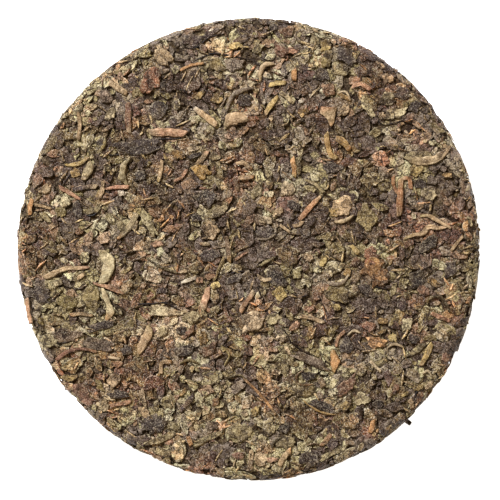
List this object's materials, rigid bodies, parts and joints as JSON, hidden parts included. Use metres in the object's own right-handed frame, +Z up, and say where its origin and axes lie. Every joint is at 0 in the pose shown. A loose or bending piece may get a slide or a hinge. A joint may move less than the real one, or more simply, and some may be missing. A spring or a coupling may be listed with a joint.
{
  "type": "pressed oolong tea cake",
  "caption": "Round, flat cake of pressed oolong tea with rounded shoulders and a rough surface of crumpled leaves and short stems.",
  "frame": {"origin": "the middle of the flat underside, on which the cake lies", "axes": "+Z up through the cake's thickness; +Y towards the top edge of the picture and +X towards its right edge"},
  "size_m": [0.1098, 0.1099, 0.014],
  "materials": {
    "pressed_leaf": "dry, matt pressed tea leaf: dark brown and slate with olive, ochre and pale sage flakes"
  },
  "bodies": {
    "root": {"tea_cake": "pressed_leaf"}
  },
  "joints": []
}
